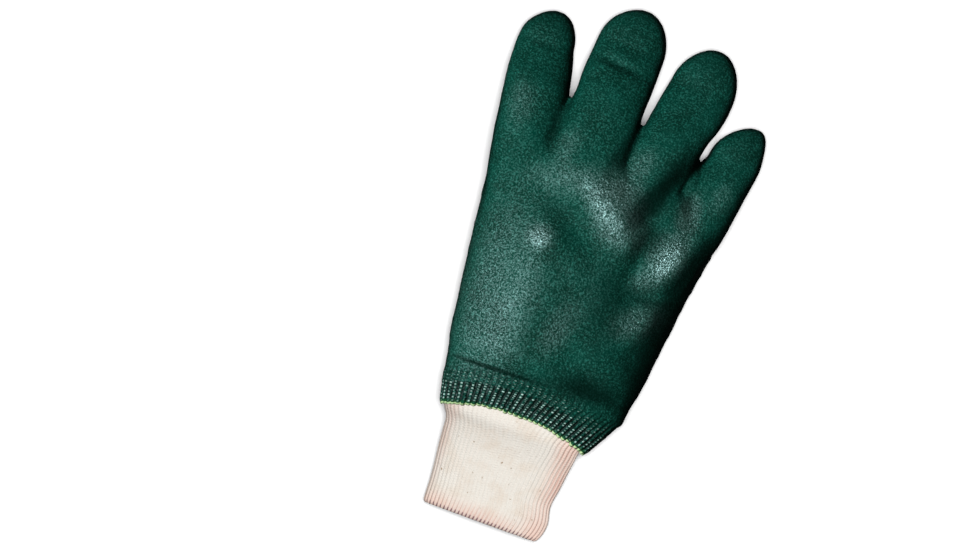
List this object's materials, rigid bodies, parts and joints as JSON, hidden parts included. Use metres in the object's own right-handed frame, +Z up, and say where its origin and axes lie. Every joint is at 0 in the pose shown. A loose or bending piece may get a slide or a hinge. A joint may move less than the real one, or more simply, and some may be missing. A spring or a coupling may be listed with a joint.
{
  "type": "pvc coated glove",
  "caption": "Right-hand work glove lying palm down: a hollow dipped PVC shell with fingers and a folded-under thumb, on a ribbed knit wrist.",
  "frame": {"origin": "on the surface that the glove lies on, under the middle of its outline", "axes": "+Z up, from the palm to the back of the hand; +Y from the wrist's hem to the fingertips; +X towards the little finger"},
  "size_m": [0.142, 0.2796, 0.0434],
  "materials": {
    "pvc_coating": "dark green dipped PVC with a fine sandy grain, satin",
    "rib_knit": "cream rib-knit cotton, matt"
  },
  "bodies": {
    "root": {"coated_shell": "pvc_coating", "knit_wrist": "rib_knit"}
  },
  "joints": []
}
